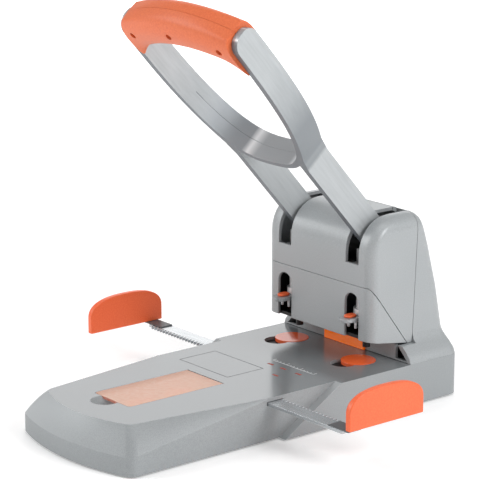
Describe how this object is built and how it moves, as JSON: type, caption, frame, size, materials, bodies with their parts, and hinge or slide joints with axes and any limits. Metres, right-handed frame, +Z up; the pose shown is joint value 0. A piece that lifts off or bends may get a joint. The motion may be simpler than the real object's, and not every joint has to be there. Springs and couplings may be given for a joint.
{
  "type": "lever hole punch",
  "caption": "Heavy-duty lever hole punch for paper with a fork-shaped handle, soft grip, self-centring side stops, turning cutting discs and a lidded tray for spares.",
  "frame": {"origin": "centre of the overall box's floor, on the desk", "axes": "+X to the right seen from the nose, +Y from the nose to the back, +Z up"},
  "size_m": [0.3208, 0.332, 0.3259],
  "materials": {
    "shell_plastic": "satin silver-grey with a fine metallic speckle",
    "dark_plastic": "fine grained",
    "rubber": "matt",
    "steel": "satin",
    "black_steel": "semi-matt black",
    "bronze": "turned",
    "aluminium": "satin cast",
    "soft_grip": "soft matt orange",
    "orange_plastic": "satin orange",
    "disc_plastic": "matt orange",
    "amber_plastic": "clear amber",
    "clear_lid": "clear pale orange",
    "grey_plastic": "satin grey",
    "white_plastic": "natural"
  },
  "bodies": {
    "base": {"base_shell": "shell_plastic", "bottom_plate": "dark_plastic", "rubber_feet": "rubber", "base_screws": "steel", "anvil_plate": "steel", "guide_carrier": "dark_plastic", "pinion_axle": "steel", "spare_discs": "disc_plastic", "paper_stop": "amber_plastic", "hood": "shell_plastic", "front_panel": "shell_plastic", "rear_cover": "shell_plastic", "frame_left": "black_steel", "frame_right": "black_steel", "frame_bolts": "steel", "stripper_plate": "black_steel", "bridge_plate": "black_steel", "holder_bushes": "bronze", "hinge_shaft": "steel", "shaft_clips": "black_steel", "shaft_spacers": "black_steel"},
    "lever": {"handle_frame": "aluminium", "grip_front": "soft_grip", "grip_rear": "soft_grip", "grip_core": "steel", "grip_screws": "black_steel", "drive_pins": "steel"},
    "punch_left": {"punch_holder_left": "steel", "punch_pin_left": "black_steel", "return_spring_left": "steel"},
    "latch_left": {"release_tab_left": "grey_plastic", "release_button_left": "orange_plastic"},
    "guide_left": {"guide_bar_left": "steel", "guide_stop_left": "orange_plastic", "bar_clamp_left": "dark_plastic"},
    "disc_left": {"cutting_disc_left": "disc_plastic"},
    "punch_right": {"punch_holder_right": "steel", "punch_pin_right": "black_steel", "return_spring_right": "steel"},
    "latch_right": {"release_tab_right": "grey_plastic", "release_button_right": "orange_plastic"},
    "guide_right": {"guide_bar_right": "steel", "guide_stop_right": "orange_plastic", "bar_clamp_right": "dark_plastic"},
    "disc_right": {"cutting_disc_right": "disc_plastic"},
    "pinion": {"guide_pinion": "white_plastic"},
    "lid": {"storage_lid": "clear_lid"}
  },
  "joints": [
    {"name": "lever_hinge", "type": "hinge", "parent": "base", "child": "lever", "pos_m": [0, 0.123, 0.1113], "axis": [1, 0, 0], "range_deg": [-27, 24], "stiffness_Nm_per_rad": 3, "springref_deg": -9.17},
    {"name": "punch_left_slide", "type": "slide", "parent": "base", "child": "punch_left", "axis": [0, 0, -1], "range_m": [-0.00996, 0.00886], "deforming": ["return_spring_left"]},
    {"name": "latch_left_slide", "type": "slide", "parent": "punch_left", "child": "latch_left", "axis": [0, -1, 0], "range_m": [0, 0.006], "stiffness_N_per_m": 200},
    {"name": "guide_left_slide", "type": "slide", "parent": "base", "child": "guide_left", "axis": [1, 0, 0], "range_m": [0, 0.0501]},
    {"name": "disc_left_turn", "type": "hinge", "parent": "base", "child": "disc_left", "pos_m": [-0.04, 0.09, 0.0335], "axis": [0, 0, 1], "continuous": true},
    {"name": "punch_right_slide", "type": "slide", "parent": "base", "child": "punch_right", "axis": [0, 0, -1], "range_m": [-0.00996, 0.00886], "deforming": ["return_spring_right"]},
    {"name": "latch_right_slide", "type": "slide", "parent": "punch_right", "child": "latch_right", "axis": [0, -1, 0], "range_m": [0, 0.006], "stiffness_N_per_m": 200},
    {"name": "guide_right_slide", "type": "slide", "parent": "base", "child": "guide_right", "axis": [-1, 0, 0], "range_m": [0, 0.05]},
    {"name": "disc_right_turn", "type": "hinge", "parent": "base", "child": "disc_right", "pos_m": [0.04, 0.09, 0.0335], "axis": [0, 0, 1], "continuous": true},
    {"name": "pinion_turn", "type": "hinge", "parent": "base", "child": "pinion", "pos_m": [0, 0.007, 0.0305], "axis": [0, 0, -1], "range_deg": [0, 141]},
    {"name": "lid_hinge", "type": "hinge", "parent": "base", "child": "lid", "pos_m": [0, -0.0305, 0.0335], "axis": [-1, 0, 0], "range_deg": [0, 100]}
  ],
  "couplings": [
    {"joint": "punch_left_slide", "follows": "lever_hinge", "m_per_rad": 0.02108},
    {"joint": "punch_right_slide", "follows": "lever_hinge", "m_per_rad": 0.02108},
    {"joint": "guide_left_slide", "follows": "guide_right_slide", "ratio": 1},
    {"joint": "pinion_turn", "follows": "guide_right_slide", "rad_per_m": 49.02}
  ]
}
